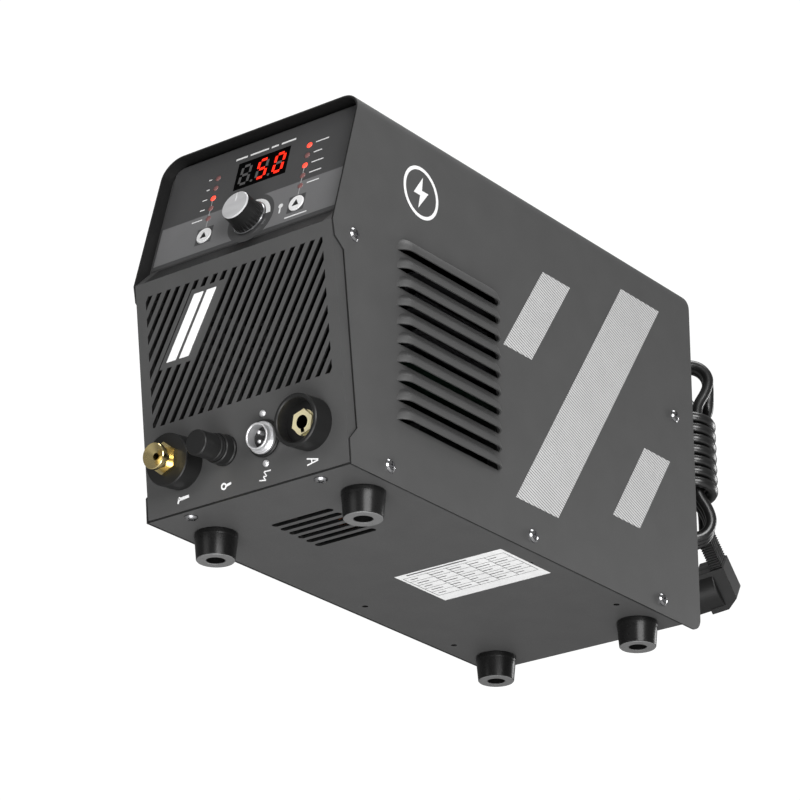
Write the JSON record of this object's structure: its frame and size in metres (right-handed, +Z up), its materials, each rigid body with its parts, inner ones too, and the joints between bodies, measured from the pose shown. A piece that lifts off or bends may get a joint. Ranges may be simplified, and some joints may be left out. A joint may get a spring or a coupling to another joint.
{
  "type": "plasma cutter unit",
  "caption": "Portable inverter plasma cutter power unit in a louvred steel case with a slanted grille, front sockets, a digital control panel, rubber feet and a tied mains lead.",
  "frame": {"origin": "on the floor under the middle of the box round the unit and its front fittings, mains cord left out", "axes": "-Y is the front with the control panel, +Z is up, +X is the side with the work lead socket"},
  "size_m": [0.1844, 0.5503, 0.3244],
  "materials": {
    "case_paint": "fine powder coat",
    "overlay_film": "satin printed film",
    "display_window": "gloss",
    "indicator_lens": "gloss",
    "white_enamel": "satin",
    "button_white": "satin",
    "black_plastic": "fine moulded texture",
    "turned_aluminium": "turned",
    "brass": "turned",
    "chrome": "polished",
    "zinc_steel": "bright zinc",
    "foot_rubber": "matt",
    "guard_wire": "nickel plated wire",
    "cord_jacket": "satin",
    "plug_moulding": "satin",
    "circuit_board": "solder mask",
    "heatsink_metal": "extruded",
    "ferrite": "matt",
    "copper_winding": "enamelled",
    "capacitor_sleeve": "gloss",
    "valve_metal": "cast",
    "hose_tube": "semi-gloss"
  },
  "bodies": {
    "case": {"base_plate": "case_paint", "front_panel": "case_paint", "rear_panel": "case_paint", "cover": "case_paint", "control_overlay": "overlay_film", "display_module": "display_window", "indicator_leds": "indicator_lens", "control_board": "circuit_board", "encoder_body": "black_plastic", "grille_badge": "white_enamel", "torch_socket_housing": "black_plastic", "torch_socket_nut": "brass", "torch_socket_barrel": "brass", "pilot_terminal_base": "black_plastic", "signal_socket_gasket": "black_plastic", "signal_socket_shell": "chrome", "signal_socket_insert": "black_plastic", "signal_socket_pins": "chrome", "signal_socket_screws": "chrome", "work_socket_collar": "black_plastic", "work_socket_insert": "brass", "foot_front_left": "foot_rubber", "foot_front_right": "foot_rubber", "foot_rear_left": "foot_rubber", "foot_rear_right": "foot_rubber", "foot_screws": "zinc_steel", "cover_screws": "zinc_steel", "base_screws": "zinc_steel", "carry_handle": "black_plastic", "handle_screws": "zinc_steel", "fan_frame": "black_plastic", "fan_guard": "guard_wire", "fan_screws": "zinc_steel", "mains_switch_housing": "black_plastic", "cable_gland": "black_plastic", "strain_relief": "cord_jacket", "air_inlet": "brass", "solenoid_valve": "valve_metal", "main_board": "circuit_board", "board_pillars": "zinc_steel", "heatsink_left": "heatsink_metal", "heatsink_right": "heatsink_metal", "capacitor_bank": "capacitor_sleeve", "transformer_core": "ferrite", "transformer_winding": "copper_winding", "air_hose": "hose_tube", "cord_hank": "cord_jacket", "cord_lead": "cord_jacket", "plug_body": "plug_moulding", "plug_pins": "chrome"},
    "encoder_stem": {"encoder_shaft": "zinc_steel"},
    "knob": {"knob_grip": "black_plastic", "knob_cap": "turned_aluminium", "knob_ring": "turned_aluminium"},
    "left_button": {"button_left": "button_white"},
    "right_button": {"button_right": "button_white"},
    "pilot_washer": {"pilot_terminal_washer": "zinc_steel"},
    "pilot_cap": {"pilot_terminal_cap": "black_plastic"},
    "rocker": {"mains_rocker": "black_plastic"},
    "fan": {"fan_rotor": "black_plastic"}
  },
  "joints": [
    {"name": "knob_press", "type": "slide", "parent": "case", "child": "encoder_stem", "axis": [0, 0.9657, -0.2598], "range_m": [0, 0.0006], "stiffness_N_per_m": 1500},
    {"name": "knob_spin", "type": "hinge", "parent": "encoder_stem", "child": "knob", "pos_m": [0, -0.19263, 0.21545], "axis": [0, -0.9657, 0.2598], "continuous": true},
    {"name": "left_button_press", "type": "slide", "parent": "case", "child": "left_button", "axis": [0, 0.9657, -0.2598], "range_m": [0, 0.0008], "stiffness_N_per_m": 400},
    {"name": "right_button_press", "type": "slide", "parent": "case", "child": "right_button", "axis": [0, 0.9657, -0.2598], "range_m": [0, 0.0008], "stiffness_N_per_m": 400},
    {"name": "pilot_washer_lift", "type": "slide", "parent": "case", "child": "pilot_washer", "axis": [0, -0.9921, -0.1255], "range_m": [0, 0.003]},
    {"name": "pilot_cap_turn", "type": "hinge", "parent": "pilot_washer", "child": "pilot_cap", "pos_m": [-0.016, -0.20685, 0.04913], "axis": [0, -0.9921, -0.1255], "range_deg": [0, 1080]},
    {"name": "mains_rocker_tilt", "type": "hinge", "parent": "case", "child": "rocker", "pos_m": [0.044, 0.18575, 0.1948], "axis": [1, 0, 0], "range_deg": [-22, 0]},
    {"name": "fan_spin", "type": "hinge", "parent": "case", "child": "fan", "pos_m": [0, 0.17255, 0.0948], "axis": [0, 1, 0], "continuous": true}
  ],
  "couplings": [
    {"joint": "pilot_cap_turn", "follows": "pilot_washer_lift", "rad_per_m": 6283.2}
  ]
}
